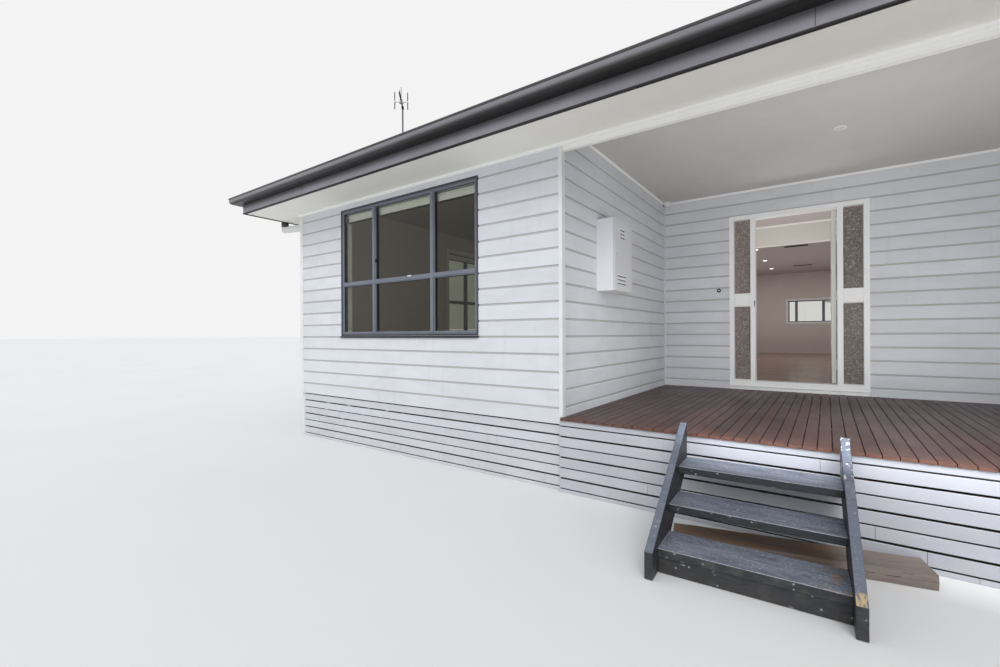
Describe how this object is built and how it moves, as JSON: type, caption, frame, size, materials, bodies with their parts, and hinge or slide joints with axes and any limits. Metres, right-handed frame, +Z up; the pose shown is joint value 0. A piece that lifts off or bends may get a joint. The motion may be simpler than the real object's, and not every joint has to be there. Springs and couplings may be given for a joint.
{
  "type": "weatherboard beach house",
  "caption": "Single-storey hipped-roof weatherboard house with a recessed front porch between two bays, timber steps, a hinged front door and a meter box with a hinged cover.",
  "frame": {"origin": "on the ground, midway between the bays' inner corners, in the plane of the front wall's outer face", "axes": "+X to the right seen from the front, +Y from the front into the house, +Z up"},
  "size_m": [12.78, 14.601, 5.7261],
  "materials": {
    "painted_boards": "satin",
    "white_trim": "satin",
    "ceiling_sheet": "matte",
    "floor_boards": "satin",
    "stumps": "matte",
    "roof_steel": "satin",
    "gutter_steel": "satin",
    "white_pipe": "satin",
    "window_frame": "satin",
    "window_glass": "gloss",
    "obscure_glass": "satin",
    "door_metal": "brushed",
    "meter_steel": "satin",
    "white_plastic": "gloss",
    "deck_boards": "satin",
    "step_paint": "satin",
    "weathered_timber": "matte",
    "antenna_metal": "satin"
  },
  "bodies": {
    "house": {"stumps_and_bearers": "stumps", "base_boards": "painted_boards", "deck_skirting": "painted_boards", "floor": "floor_boards", "front_wall_left": "painted_boards", "front_wall_right": "painted_boards", "porch_wall_left": "painted_boards", "porch_wall_right": "painted_boards", "door_wall_left": "painted_boards", "door_wall_right": "painted_boards", "door_wall_head": "painted_boards", "left_wall": "painted_boards", "right_wall": "painted_boards", "rear_wall": "painted_boards", "ceiling": "ceiling_sheet", "ceiling_beam": "ceiling_sheet", "porch_ceiling": "white_trim", "porch_beam": "white_trim", "roof_front": "roof_steel", "roof_left": "roof_steel", "roof_right": "roof_steel", "roof_rear": "roof_steel", "roof_capping": "roof_steel", "soffit": "white_trim", "fascia": "gutter_steel", "gutter": "gutter_steel", "downpipes": "white_pipe", "corner_trims": "white_trim", "front_windows": "window_frame", "side_windows": "window_frame", "rear_windows": "window_frame", "window_glass": "window_glass", "door_frame": "white_trim", "sidelight_glass": "obscure_glass", "meter_box": "meter_steel", "porch_fittings": "white_plastic", "deck": "deck_boards", "stringers": "step_paint", "treads": "step_paint", "bottom_riser": "step_paint", "sleeper": "weathered_timber", "antenna": "antenna_metal"},
    "front_door": {"door_leaf": "white_trim", "door_handle": "door_metal"},
    "meter_cover": {"meter_box_cover": "meter_steel"}
  },
  "joints": [
    {"name": "front_door_hinge", "type": "hinge", "parent": "house", "child": "front_door", "pos_m": [-0.005, 3.128, 1.6], "axis": [0, 0, 1], "range_deg": [-20, 90]},
    {"name": "meter_cover_hinge", "type": "hinge", "parent": "house", "child": "meter_cover", "pos_m": [-1.7445, 1.192, 2.067], "axis": [0, 0, 1], "range_deg": [0, 110]}
  ]
}
